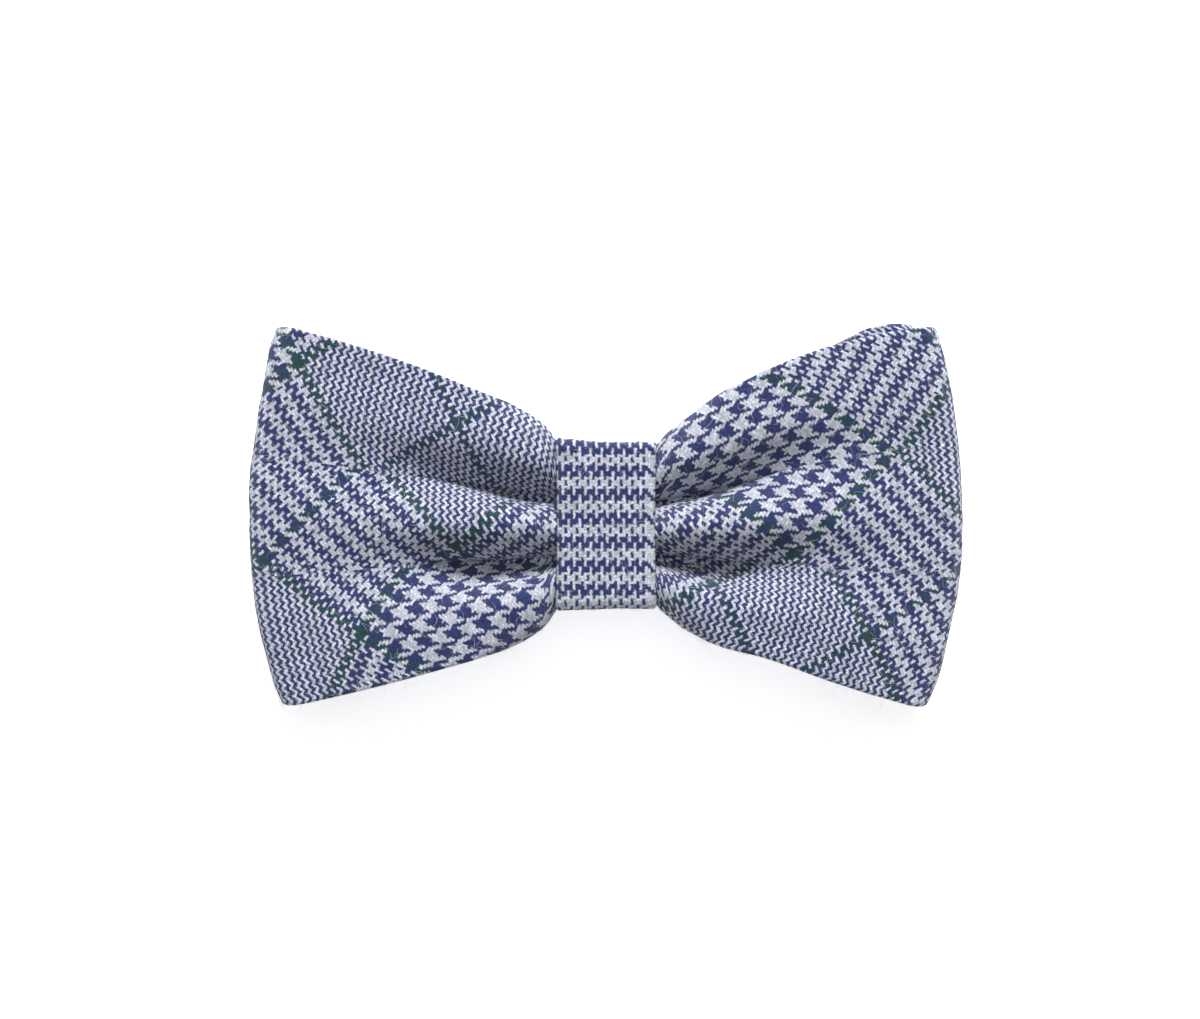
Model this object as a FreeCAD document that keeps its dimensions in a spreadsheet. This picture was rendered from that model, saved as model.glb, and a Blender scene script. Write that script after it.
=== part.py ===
"""Clip-on bow tie, 120 mm wide: two sewn cloth loops, a cloth knot and a two-jaw collar clip.

Row frame, in millimetres: +X towards the bow's own right-hand tip as seen from the front, +Y up
as it is worn, +Z out of its front face. The bow lies on its back, so the rear loop rests on z = 0,
and the origin is the middle of that base.
"""
import FreeCAD
import Part
import Sketcher
import math
import os
import re

V = FreeCAD.Vector

# Driving dimensions: name, value in mm (or degrees), what it is.
DIMENSIONS = [
    ("bow_width", 120.0, "tip to tip, over the front loop's outer folds"),
    ("corner_offset", 54.6, "centre to an outer corner, along X"),
    ("corner_rise", 33.4, "knot centre up to the upper outer corner"),
    ("corner_drop", 30.8, "knot centre down to the lower outer corner"),
    ("knot_width", 17.3, "knot, along X"),
    ("knot_height", 28.6, "knot, along Y"),
    ("knot_top", 20.0, "front face of the knot, above the table"),
    ("knot_shift", -1.3, "knot centre below the middle of the bow"),
    ("knot_cloth", 1.0, "cloth of the knot, turned in and pressed"),
    ("knot_lining", 0.3, "interlining of the knot"),
    ("knot_slack", 0.3, "room between the knot's interlining and the waist"),
    ("waist_back", 7.6, "back of the gathered waist, above the table"),
    ("waist_top", 18.4, "front of the gathered waist, above the table"),
    ("loop_split", 12.95, "between the rear and the front loop at the waist"),
    ("loop_gap", 0.3, "air between the two loops"),
    ("ply_thickness", 1.5, "one wall of a loop: cloth, interlining, cloth"),
    ("interlining", 0.5, "stiff interlining inside each wall"),
    ("rear_inset", 1.1, "how far the rear loop stays inside the front loop's outline"),
    ("rest_depth", 0.15, "how much the rear loop is pressed flat where it rests"),
    ("binding", 0.2, "thread wound round the waist"),
    ("binding_slack", 0.04, "air between the thread and the waist, for the waist's square corners"),
    ("binding_width", 6.0, "width of the wound thread, along X"),
    ("base_length", 52.0, "steel base strip of the clip"),
    ("base_width", 8.0, "steel base strip, along Y"),
    ("base_sheet", 0.8, "thickness of the base strip"),
    ("base_under", 6.55, "underside of the base strip, above the table"),
    ("pin_offset", 14.5, "hinge pin from the centre, along X"),
    ("pin_level", 4.0, "hinge pin above the table"),
    ("pin_radius", 0.8, "hinge pin"),
    ("pin_clearance", 0.05, "running clearance of a jaw on its pin"),
    ("ear_radius", 1.6, "rounded end of the base strip's ears"),
    ("ear_sheet", 0.6, "thickness of an ear"),
    ("ear_span", 8.0, "over the outer faces of a pair of ears"),
    ("jaw_width", 6.4, "jaw, along Y"),
    ("jaw_sheet", 0.6, "thickness of the jaw's sheet"),
    ("jaw_floor", 1.9, "middle of the jaw's sheet under the pin"),
    ("jaw_reach", 10.9, "pin to the tip of the jaw, along X"),
    ("thumb_reach", 9.3, "pin to the end of the thumb tab, along X"),
    ("thumb_level", 0.6, "middle of the sheet at the end of the thumb tab"),
    ("lug_radius", 1.55, "rounded lug of the jaw round its pin"),
    ("spring_wire", 0.5, "diameter of the spring wire"),
    ("spring_radius", 1.25, "middle radius of the spring's coil"),
    ("spring_turns", 6.0, "turns of the spring"),
    ("stitch_thread", 0.3, "diameter of the sewing thread"),
    ("stitch_length", 1.7, "one closing stitch across the lap"),
]


def add_sheet(doc):
    """Writes the driving dimensions into a spreadsheet, one named cell each."""
    sheet = doc.addObject("Spreadsheet::Sheet", "Dimensions")
    for row, (name, value, note) in enumerate(DIMENSIONS, start=1):
        sheet.set(f"A{row}", name)
        sheet.set(f"B{row}", str(value))
        sheet.set(f"C{row}", note)
        sheet.setAlias(f"B{row}", name)
    doc.recompute()
    return sheet


def formula(text):
    """Turns the bare dimension names in a formula into references to the sheet."""
    names = "|".join(sorted((name for name, _, _ in DIMENSIONS), key=len, reverse=True))
    return re.sub(rf"\b({names})\b", r"Dimensions.\1", text)


def bind(item, **formulas):
    """Binds properties to the sheet. x, y and z stand for the placement's position."""
    for name, text in formulas.items():
        target = f"Placement.Base.{name}" if name in ("x", "y", "z") else name
        item.setExpression(target, formula(text))


# ---------------------------------------------------------------- helpers for plain solids


def add_box(doc, name, size, low):
    """Adds a box with the given size and lowest corner, all six as formulas."""
    box = doc.addObject("Part::Box", name)
    bind(box, Length=size[0], Width=size[1], Height=size[2], x=low[0], y=low[1], z=low[2])
    return box


def add_cylinder_y(doc, name, radius, length, start):
    """Adds a cylinder along +Y from its start point, all as formulas."""
    cylinder = doc.addObject("Part::Cylinder", name)
    cylinder.Placement = FreeCAD.Placement(V(), FreeCAD.Rotation(V(1, 0, 0), -90))
    bind(cylinder, Radius=radius, Height=length, x=start[0], y=start[1], z=start[2])
    return cylinder


def fuse(doc, name, items):
    """Joins solids into one."""
    union = doc.addObject("Part::MultiFuse", name)
    union.Shapes = items
    union.Refine = True
    return union


def cut(doc, name, base, tool):
    """Takes the tool away from the base."""
    difference = doc.addObject("Part::Cut", name)
    difference.Base = base
    difference.Tool = tool
    return difference


def round_along_x(doc, name, box, radius):
    """Rounds the four long edges of a box that run along X."""
    doc.recompute()
    rounded = doc.addObject("Part::Fillet", name)
    rounded.Base = box
    edges = []
    for number, edge in enumerate(box.Shape.Edges, start=1):
        if abs(edge.tangentAt(edge.FirstParameter).x) > 0.99:
            edges.append((number, radius, radius))
    rounded.Edges = edges
    return rounded


def add_sketch(body, name, plane_role):
    """Adds a sketch on one of the body's own origin planes."""
    plane = next(item for item in body.Origin.OriginFeatures if item.Role == plane_role)
    sketch = body.newObject("Sketcher::SketchObject", name)
    sketch.AttachmentSupport = [(plane, "")]
    sketch.MapMode = "FlatFace"
    return sketch


def dimension(sketch, kind, geometry, point, text, value):
    """Adds one driven distance from the sketch's origin and binds it to its formula."""
    index = sketch.addConstraint(Sketcher.Constraint(kind, -1, 1, geometry, point, value))
    sketch.setExpression(f"Constraints[{index}]", formula(text))


def evaluate(sheet, text):
    """Works a formula out as a plain number, as a start value for the solver."""
    return float(sheet.evalExpression(formula(text)))


def add_outline(body, name, plane_role, corners):
    """Draws a closed outline of straight lines through corners that are pairs of formulas."""
    sheet = body.Document.getObject("Dimensions")
    sketch = add_sketch(body, name, plane_role)
    places = [(evaluate(sheet, across), evaluate(sheet, up)) for across, up in corners]
    count = len(corners)
    for number in range(count):
        start = V(*places[number], 0)
        end = V(*places[(number + 1) % count], 0)
        sketch.addGeometry(Part.LineSegment(start, end))
    for number in range(count):
        following = (number + 1) % count
        sketch.addConstraint(Sketcher.Constraint("Coincident", number, 2, following, 1))
    for number, (across, up) in enumerate(corners):
        dimension(sketch, "DistanceX", number, 1, across, places[number][0])
        dimension(sketch, "DistanceY", number, 1, up, places[number][1])
    return sketch


def add_circle(body, name, plane_role, centre, radius):
    """Draws a circle whose centre and radius are formulas."""
    sheet = body.Document.getObject("Dimensions")
    sketch = add_sketch(body, name, plane_role)
    across, up, size = (evaluate(sheet, text) for text in (*centre, radius))
    sketch.addGeometry(Part.Circle(V(across, up, 0), V(0, 0, 1), size))
    dimension(sketch, "DistanceX", 0, 3, centre[0], across)
    dimension(sketch, "DistanceY", 0, 3, centre[1], up)
    index = sketch.addConstraint(Sketcher.Constraint("Radius", 0, size))
    sketch.setExpression(f"Constraints[{index}]", formula(radius))
    return sketch


def add_pad(body, name, sketch, length):
    """Raises a sketch by the same amount on both sides of its plane."""
    pad = body.newObject("PartDesign::Pad", name)
    pad.Profile = sketch
    pad.SideType = "Symmetric"
    bind(pad, Length=length)
    return pad


def add_pocket(body, name, sketch, length):
    """Cuts a sketch away on both sides of its plane, and makes sure that it cuts something."""
    body.Document.recompute()
    before = body.Shape.Volume
    pocket = body.newObject("PartDesign::Pocket", name)
    pocket.Profile = sketch
    pocket.SideType = "Symmetric"
    bind(pocket, Length=length)
    body.Document.recompute()
    if body.Shape.Volume >= before:
        raise RuntimeError(f"{name} cuts nothing")
    return pocket


def add_shape(doc, name, shape):
    """Adds a shape made in code as a sub-part of its own."""
    item = doc.addObject("Part::Feature", name)
    item.Shape = shape
    item.Placement = FreeCAD.Placement()
    return item


# ---------------------------------------------------------------- the two cloth loops


def mirror_x(edge):
    """The same edge on the other side of the bow's middle plane."""
    return edge.mirror(V(), V(1, 0, 0))


def curve(points, start_way, end_way, inset=0.0):
    """A smooth edge through a few points, leaving and arriving along the two ways.

    The solid lies on the right of the way of travel seen along -Y, and the inset moves the whole
    edge into it by an equal amount.
    """
    spline = Part.BSplineCurve()
    ways = {"InitialTangent": V(*start_way), "FinalTangent": V(*end_way)}
    spline.interpolate(Points=[V(*point) for point in points], **ways)
    if inset:
        shifted = []
        for parameter in spline.getKnots():
            way = spline.tangent(parameter)[0]
            shifted.append(spline.value(parameter) + V(way.z, 0, -way.x) * inset)
        spline.interpolate(Points=shifted, **ways)
    return spline.toShape()


def line(start, end):
    """A straight edge."""
    return Part.LineSegment(V(*start), V(*end)).toShape()


def closed_wire(right_edges):
    """A closed wire from the edges of its right half, which are mirrored to the left."""
    edges = right_edges + [mirror_x(edge) for edge in right_edges]
    return Part.Wire(Part.__sortEdges__(edges))


def fold_reach(sizes, level, inset):
    """How far out the fold of a wing lies at a height: an arc through both corners and the tip."""
    half_height = (sizes.corner_rise + sizes.corner_drop) / 2
    bow = sizes.bow_width / 2 - sizes.corner_offset
    radius = (half_height**2 + bow**2) / (2 * bow)
    return sizes.bow_width / 2 - inset - radius + math.sqrt(radius**2 - level**2)


def plan_prism(sizes, inset):
    """The bow's upper and lower edges as seen from the front, extruded up from the table."""
    middle = sizes.knot_shift
    waist = sizes.knot_height / 2 - sizes.knot_cloth - sizes.knot_lining - inset
    waist -= sizes.knot_slack + sizes.binding_slack
    shoulder = sizes.knot_width / 2 + sizes.loop_gap + inset
    neck = sizes.knot_height / 2 - 0.1 - inset
    reach = sizes.corner_offset
    upper = sizes.corner_rise - inset
    lower = sizes.corner_drop - inset
    beyond = reach + 8.0
    end_slope = 0.25
    run_out = (beyond - reach) * end_slope
    top_edge = curve(
        [
            (shoulder, middle + neck, 0),
            (0.45 * reach, middle + 0.74 * upper, 0),
            (reach, middle + upper, 0),
        ],
        (0.8, 0.6, 0),
        (1.0, end_slope, 0),
    )
    bottom_edge = curve(
        [
            (reach, middle - lower, 0),
            (0.45 * reach, middle - 0.755 * lower, 0),
            (shoulder, middle - neck, 0),
        ],
        (-1.0, end_slope, 0),
        (-0.78, 0.62, 0),
    )
    upper_end = (beyond, middle + upper + run_out, 0)
    lower_end = (beyond, middle - lower - run_out, 0)
    outline = closed_wire(
        [
            line((0, middle + waist, 0), (shoulder, middle + waist, 0)),
            line((shoulder, middle + waist, 0), (shoulder, middle + neck, 0)),
            top_edge,
            line((reach, middle + upper, 0), upper_end),
            line(upper_end, lower_end),
            line(lower_end, (reach, middle - lower, 0)),
            bottom_edge,
            line((shoulder, middle - neck, 0), (shoulder, middle - waist, 0)),
            line((shoulder, middle - waist, 0), (0, middle - waist, 0)),
        ]
    )
    return Part.Face(outline).extrude(V(0, 0, sizes.knot_top + 5))


def front_profile(sizes, tip, inset):
    """The front loop seen along Y: pinched at the waist, puffed in each wing, folded at the tips."""
    side = sizes.knot_width / 2 + sizes.loop_gap
    top = sizes.waist_top
    bottom = sizes.loop_split + sizes.loop_gap / 2
    puff = [
        (side, 0, top),
        (0.36 * tip, 0, top + 1.2),
        (0.7 * tip, 0, top + 0.8),
        (tip, 0, top - 4.2),
        (0.88 * tip, 0, bottom - 1.6),
        (0.62 * tip, 0, bottom - 1.4),
        (0.36 * tip, 0, bottom - 0.8),
        (side, 0, bottom),
    ]
    return closed_wire(
        [
            line((0, 0, top - inset), (side, 0, top - inset)),
            curve(puff, (1, 0, 0), (-1, 0, 0), inset),
            line((side, 0, bottom + inset), (0, 0, bottom + inset)),
        ]
    )


def rear_profile(sizes, tip, inset):
    """The rear loop seen along Y: flat where it rests, hollowed behind the knot for the clip."""
    side = sizes.knot_width / 2 + sizes.loop_gap
    top = sizes.loop_split - sizes.loop_gap / 2
    back = sizes.waist_back
    rest = -sizes.rest_depth
    fold_top = top - 2.9
    fold_start = tip - fold_top / 2
    clip_room = sizes.base_length / 2 + 1.5
    rest_start = 0.78 * tip
    upper = [(side, 0, top), (0.4 * tip, 0, top - 1.4), (fold_start, 0, fold_top)]
    flare = [(rest_start, 0, rest), (clip_room, 0, back)]
    fold = Part.Arc(
        V(fold_start, 0, fold_top - inset),
        V(tip - inset, 0, fold_top / 2),
        V(fold_start, 0, rest + inset),
    )
    return closed_wire(
        [
            line((0, 0, top - inset), (side, 0, top - inset)),
            curve(upper, (1, 0, 0), (1, 0, 0), inset),
            fold.toShape(),
            line((fold_start, 0, rest + inset), (rest_start, 0, rest + inset)),
            curve(flare, (-1, 0, 0), (-1, 0, 0), inset),
            line((clip_room, 0, back + inset), (0, 0, back + inset)),
        ]
    )


def lofted(sizes, profile, outline_inset, inset):
    """A solid through side profiles at five heights, so that its fold follows the bowed edge."""
    reach = sizes.corner_rise + 4.0
    sections = []
    for share in (-1.0, -0.5, 0.0, 0.5, 1.0):
        level = share * reach
        section = profile(sizes, fold_reach(sizes, level, outline_inset), inset)
        section.translate(V(0, level, 0))
        sections.append(section)
    return Part.makeLoft(sections, True)


def add_loop(doc, sizes, name, profile, outline_inset):
    """Adds one loop as two sub-parts: its cloth tube, and the interlining sealed inside it."""
    outline = plan_prism(sizes, outline_inset)
    inner_outline = plan_prism(sizes, outline_inset + sizes.interlining)
    body = lofted(sizes, profile, outline_inset, 0.0).common(outline)

    # The wings are hollow, and the gathered waist between them is solid cloth.
    hollow = lofted(sizes, profile, outline_inset, sizes.ply_thickness)
    waist = 2 * (sizes.knot_width / 2 + 3.5)
    depth = 3 * sizes.corner_rise
    keep = Part.makeBox(waist, depth, 2 * sizes.knot_top, V(-waist / 2, -depth / 2, -5))
    strip = body.cut(hollow.cut(keep))

    cloth_side = (sizes.ply_thickness - sizes.interlining) / 2
    outside = lofted(sizes, profile, outline_inset, cloth_side)
    inside = lofted(sizes, profile, outline_inset, cloth_side + sizes.interlining)
    lining = outside.cut(inside).common(inner_outline)
    add_shape(doc, f"{name}_loop_interlining", lining.Solids[0])
    add_shape(doc, f"{name}_loop_cloth", strip.cut(lining).Solids[0])


# ---------------------------------------------------------------- the knot


def add_sleeve(doc, name, half_height, low, high, wall, width, radius):
    """Adds a cloth sleeve round the waist: the half height and levels are of its outer face."""
    outer = add_box(
        doc,
        f"{name}_outer",
        (width, f"2 * ({half_height})", f"({high}) - ({low})"),
        (f"-({width}) / 2", f"knot_shift - ({half_height})", low),
    )
    inner = add_box(
        doc,
        f"{name}_inner",
        (f"({width}) + 2", f"2 * ({half_height} - ({wall}))", f"({high}) - ({low}) - 2 * ({wall})"),
        (f"-({width}) / 2 - 1", f"knot_shift - ({half_height}) + ({wall})", f"({low}) + ({wall})"),
    )
    wall_size = evaluate(doc.getObject("Dimensions"), wall)
    rounded_outer = round_along_x(doc, f"{name}_outer_round", outer, radius)
    rounded_inner = round_along_x(doc, f"{name}_inner_round", inner, radius - wall_size)
    return cut(doc, name, rounded_outer, rounded_inner)


def add_knot(doc):
    """Adds the knot's cloth, its interlining and the thread that binds the waist under them."""
    lining_half = "(knot_height / 2 - knot_cloth)"
    lining_top = "(knot_top - knot_cloth)"
    lining_low = "(base_under - 0.1 - knot_lining)"
    knot_radius = 1.7
    lining_radius = 0.7
    binding_radius = 0.25
    knot = add_sleeve(
        doc,
        "knot_cloth",
        "knot_height / 2",
        f"{lining_low} - knot_cloth",
        "knot_top",
        "knot_cloth",
        "knot_width",
        knot_radius,
    )
    lining = add_sleeve(
        doc,
        "knot_interlining",
        lining_half,
        lining_low,
        lining_top,
        "knot_lining",
        "knot_width - 1",
        lining_radius,
    )
    binding = add_sleeve(
        doc,
        "waist_binding_thread",
        f"{lining_half} - knot_lining - knot_slack + binding",
        "waist_back - binding_slack - binding",
        "waist_top + binding_slack + binding",
        "binding",
        "binding_width",
        binding_radius,
    )
    return [knot, lining, binding]


def add_closing_stitches(doc, sizes):
    """Adds the row of hand stitches that closes the knot's lap at the back."""
    level = sizes.base_under - 0.1 - sizes.knot_lining - sizes.knot_cloth
    radius = sizes.stitch_thread / 2
    count = 7
    pitch = 2.1
    stitches = []
    for number in range(count):
        across = (number - (count - 1) / 2) * pitch
        start = V(across, sizes.knot_shift - sizes.stitch_length / 2, level - radius)
        stitch = Part.makeCylinder(radius, sizes.stitch_length, start, V(0, 1, 0))
        stitches.append(stitch)
    return add_shape(doc, "knot_closing_stitches", Part.makeCompound(stitches))


# ---------------------------------------------------------------- the collar clip


def add_base_strip(doc):
    """Adds the steel strip that passes through the knot, with a pair of ears at each pin."""
    strip = add_box(
        doc,
        "strip",
        ("base_length - base_width", "base_width", "base_sheet"),
        ("-(base_length - base_width) / 2", "knot_shift - base_width / 2", "base_under"),
    )
    pieces = [strip]
    holes = []
    for side_name, side in (("left", -1), ("right", 1)):
        end = doc.addObject("Part::Cylinder", f"{side_name}_strip_end")
        bind(
            end,
            Radius="base_width / 2",
            Height="base_sheet",
            x=f"{side} * (base_length - base_width) / 2",
            y="knot_shift",
            z="base_under",
        )
        pieces.append(end)
        for edge_name, edge_low in (
            ("upper", "knot_shift + ear_span / 2 - ear_sheet"),
            ("lower", "knot_shift - ear_span / 2"),
        ):
            name = f"{side_name}_{edge_name}_ear"
            web = add_box(
                doc,
                f"{name}_web",
                ("2 * ear_radius", "ear_sheet", "base_under + base_sheet - pin_level"),
                (f"{side} * pin_offset - ear_radius", edge_low, "pin_level"),
            )
            nose = add_cylinder_y(
                doc,
                f"{name}_nose",
                "ear_radius",
                "ear_sheet",
                (f"{side} * pin_offset", edge_low, "pin_level"),
            )
            pieces += [web, nose]
        holes.append(
            add_cylinder_y(
                doc,
                f"{side_name}_ear_bore",
                "pin_radius",
                "ear_span + 2",
                (f"{side} * pin_offset", "knot_shift - ear_span / 2 - 1", "pin_level"),
            )
        )
    solid = fuse(doc, "clip_base_solid", pieces)
    bores = fuse(doc, "clip_base_bores", holes)
    return cut(doc, "clip_base_strip", solid, bores)


def add_pin(doc, side_name, side):
    """Adds a hinge pin with a riveted head outside each ear."""
    centre = f"{side} * pin_offset"
    head = "0.4"
    shank = add_cylinder_y(
        doc,
        f"{side_name}_shank",
        "pin_radius",
        "ear_span",
        (centre, "knot_shift - ear_span / 2", "pin_level"),
    )
    lower = add_cylinder_y(
        doc,
        f"{side_name}_lower_head",
        "pin_radius + 0.35",
        head,
        (centre, f"knot_shift - ear_span / 2 - {head}", "pin_level"),
    )
    upper = add_cylinder_y(
        doc,
        f"{side_name}_upper_head",
        "pin_radius + 0.35",
        head,
        (centre, "knot_shift + ear_span / 2", "pin_level"),
    )
    return fuse(doc, f"{side_name}_jaw_pin", [shank, lower, upper])


def add_jaw(doc, side_name, side):
    """Adds one sprung jaw: a thumb tab inboard of the pin and a toothed mouth outboard."""
    body = doc.addObject("PartDesign::Body", f"{side_name}_clip_jaw")
    bind(body, y="knot_shift")
    half = "jaw_sheet / 2"

    def across(text):
        return f"{side} * (pin_offset + ({text}))"

    # Two lugs round the pin: a full block, emptied in the middle for the spring.
    lug_corners = [
        (across("-lug_radius"), "jaw_floor"),
        (across("lug_radius"), "jaw_floor"),
        (across("lug_radius"), "pin_level"),
        (across("-lug_radius"), "pin_level"),
    ]
    add_pad(body, "lug_block", add_outline(body, "lug_sketch", "XZ_Plane", lug_corners), "jaw_width")
    lug_round = add_circle(body, "lug_round_sketch", "XZ_Plane", (across("0"), "pin_level"), "lug_radius")
    add_pad(body, "lug_round", lug_round, "jaw_width")
    room_corners = [
        (across("-2 * lug_radius"), "jaw_floor - 1"),
        (across("2 * lug_radius"), "jaw_floor - 1"),
        (across("2 * lug_radius"), "pin_level + 2 * lug_radius"),
        (across("-2 * lug_radius"), "pin_level + 2 * lug_radius"),
    ]
    room = add_outline(body, "spring_room_sketch", "XZ_Plane", room_corners)
    add_pocket(body, "spring_room", room, "jaw_width - 2 * jaw_sheet")
    bore_radius = "pin_radius + pin_clearance"
    bore = add_circle(body, "pin_bore_sketch", "XZ_Plane", (across("0"), "pin_level"), bore_radius)
    add_pocket(body, "pin_bore", bore, "jaw_width + 2")

    # The bent sheet: thumb tab, floor under the pin, rising jaw and upturned mouth.
    sheet_corners = [
        (across("-thumb_reach"), f"thumb_level - {half}"),
        (across("-lug_radius"), f"jaw_floor - {half}"),
        (across("lug_radius"), f"jaw_floor - {half}"),
        (across("jaw_reach - 1.4"), f"base_under - 1.5 - {half}"),
        (across("jaw_reach"), f"base_under - 1.2 - {half}"),
        (across("jaw_reach"), "base_under - 0.05"),
        (across("jaw_reach - jaw_sheet"), "base_under - 0.05"),
        (across("jaw_reach - jaw_sheet - 0.2"), f"base_under - 1.2 + {half}"),
        (across("jaw_reach - 1.7"), f"base_under - 1.45 + {half}"),
        (across("lug_radius - 0.2"), f"jaw_floor + {half}"),
        (across("-lug_radius"), f"jaw_floor + {half}"),
        (across("-thumb_reach"), f"thumb_level + {half}"),
    ]
    add_pad(body, "bent_sheet", add_outline(body, "sheet_sketch", "XZ_Plane", sheet_corners), "jaw_width")

    # Four notches leave five blunt teeth along the mouth.
    teeth = 5
    for number in range(teeth - 1):
        middle = f"({number + 1} / {teeth} - 0.5) * jaw_width"
        notch_corners = [
            (across("jaw_reach - 1.2"), f"{middle} - 0.3"),
            (across("jaw_reach + 1"), f"{middle} - 0.3"),
            (across("jaw_reach + 1"), f"{middle} + 0.3"),
            (across("jaw_reach - 1.2"), f"{middle} + 0.3"),
        ]
        sketch = add_outline(body, f"notch_sketch_{number + 1}", "XY_Plane", notch_corners)
        sketch.AttachmentOffset = FreeCAD.Placement(V(0, 0, 1), FreeCAD.Rotation())
        sketch.setExpression("AttachmentOffset.Base.z", formula("base_under - 0.05"))
        add_pocket(body, f"notch_{number + 1}", sketch, "1.0")
    return body


def spring_shape(sizes):
    """The right torsion spring: close-wound turns round the pin and two legs, above and below.

    The turns are rings on a thin sleeve, which stands in for the helix.
    """
    wire_radius = sizes.spring_wire / 2
    pitch = sizes.spring_wire * 1.06
    turns = round(sizes.spring_turns)
    height = pitch * turns
    along = V(0, 1, 0)
    pin = V(sizes.pin_offset, sizes.knot_shift, sizes.pin_level)
    foot = pin - along * (height / 2)
    sleeve_wall = 0.1
    outer = Part.makeCylinder(sizes.spring_radius + sleeve_wall, height, foot, along)
    inner = Part.makeCylinder(sizes.spring_radius - sleeve_wall, height, foot, along)
    pieces = []
    for number in range(turns):
        centre = foot + along * (pitch * (number + 0.5))
        pieces.append(Part.makeTorus(sizes.spring_radius, wire_radius, centre, along))

    tab_slope = (sizes.jaw_floor - sizes.thumb_level) / (sizes.thumb_reach - sizes.lug_radius)
    leg_reach = 5.6
    tab_level = sizes.jaw_floor - (leg_reach - sizes.lug_radius) * tab_slope
    for end, level_start, level_end in (
        (-1, sizes.spring_radius, sizes.base_under - wire_radius - 0.05 - sizes.pin_level),
        (1, -sizes.spring_radius, tab_level + sizes.jaw_sheet / 2 + 0.35 - sizes.pin_level),
    ):
        offset = end * (height - pitch) / 2
        start = pin + V(0, offset, level_start)
        finish = pin + V(-leg_reach, offset, level_end)
        way = finish - start
        pieces.append(Part.makeCylinder(wire_radius, way.Length, start, way))
    return outer.cut(inner).fuse(pieces).Solids[0]


def add_springs(doc, sizes):
    """Adds the right spring and its mirror image on the left."""
    right = spring_shape(sizes)
    left = right.mirror(V(), V(1, 0, 0))
    return [add_shape(doc, "right_jaw_spring", right), add_shape(doc, "left_jaw_spring", left)]


# ---------------------------------------------------------------- the whole tie


def check_and_export(doc, parts):
    """Stops at any failed object or bad solid, then writes one STEP file for each sub-part."""
    doc.recompute()
    for item in doc.Objects:
        if "Invalid" in item.State or "Error" in item.State:
            raise RuntimeError(f"{item.Label} failed to compute: {item.State}")
    for item in parts:
        if item.Shape.isNull() or not item.Shape.isValid():
            raise RuntimeError(f"{item.Label} has no valid shape")
        box = item.Shape.BoundBox
        print(
            f"{item.Label:26s} {item.Shape.Volume:9.2f} mm3, {len(item.Shape.Solids)} solids, "
            f"x {box.XMin:6.1f}..{box.XMax:5.1f}  y {box.YMin:6.1f}..{box.YMax:5.1f}  "
            f"z {box.ZMin:5.2f}..{box.ZMax:5.2f}"
        )
    os.makedirs("parts", exist_ok=True)
    for item in parts:
        item.Shape.exportStep(os.path.join("parts", item.Label + ".step"))


def main():
    doc = FreeCAD.newDocument("bow_tie")
    sizes = add_sheet(doc)
    add_loop(doc, sizes, "front", front_profile, 0.0)
    add_loop(doc, sizes, "rear", rear_profile, sizes.rear_inset)
    parts = []
    for name in ("front", "rear"):
        parts.append(doc.getObject(f"{name}_loop_cloth"))
        parts.append(doc.getObject(f"{name}_loop_interlining"))
    parts += add_knot(doc)
    parts.append(add_closing_stitches(doc, sizes))
    parts.append(add_base_strip(doc))
    for side_name, side in (("left", -1), ("right", 1)):
        parts.append(add_pin(doc, side_name, side))
        parts.append(add_jaw(doc, side_name, side))
    parts += add_springs(doc, sizes)
    check_and_export(doc, parts)


main()
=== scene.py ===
"""Looks of the clip-on bow tie: pleated wool loops, cloth knot, thread and nickel clip hardware.

The cloth is shaped in millimetres, with the knot's centre at x = y = 0, until its mesh is made.
to_frame() then turns it into metres in the frame's own axes. The springs, the floor, the lights
and the camera are in metres from the start.
"""
from functools import partial
import math

import bpy
import numpy as np
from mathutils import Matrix, Vector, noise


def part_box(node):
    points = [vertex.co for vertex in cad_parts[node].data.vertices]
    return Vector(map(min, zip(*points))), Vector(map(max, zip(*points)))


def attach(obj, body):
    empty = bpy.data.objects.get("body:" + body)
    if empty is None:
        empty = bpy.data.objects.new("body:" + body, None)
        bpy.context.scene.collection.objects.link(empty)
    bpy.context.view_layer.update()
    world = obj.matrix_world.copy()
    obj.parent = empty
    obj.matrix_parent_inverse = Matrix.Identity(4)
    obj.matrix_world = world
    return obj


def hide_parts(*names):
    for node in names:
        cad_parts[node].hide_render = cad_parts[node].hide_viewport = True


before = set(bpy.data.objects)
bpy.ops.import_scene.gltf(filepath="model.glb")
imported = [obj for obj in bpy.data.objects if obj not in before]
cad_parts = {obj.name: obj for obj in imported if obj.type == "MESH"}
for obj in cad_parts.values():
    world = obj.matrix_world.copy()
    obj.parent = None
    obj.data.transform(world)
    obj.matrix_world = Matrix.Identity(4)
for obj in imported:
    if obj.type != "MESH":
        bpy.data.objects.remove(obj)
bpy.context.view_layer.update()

MM = 0.001

# ---- places read from the frame

knot_low, knot_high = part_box("knot_cloth")
KNOT_CENTRE_X = (knot_low[0] + knot_high[0]) / 2 / MM
KNOT_CENTRE_Y = (knot_low[1] + knot_high[1]) / 2 / MM
KNOT_HALF_WIDTH = (knot_high[0] - knot_low[0]) / 2 / MM
KNOT_HALF_HEIGHT = (knot_high[1] - knot_low[1]) / 2 / MM
KNOT_TOP = knot_high[2] / MM
KNOT_BACK = knot_low[2] / MM
FRONT_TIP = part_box("front_loop_cloth")[1][0] / MM
REAR_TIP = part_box("rear_loop_cloth")[1][0] / MM

STRIP_HALF = 32.0        # half the width of the strip that each loop is folded from
WALL_HALF = 0.62         # half the thickness of a loop's wall
START = 5.0              # where a wing's mesh starts, inside the knot

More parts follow.
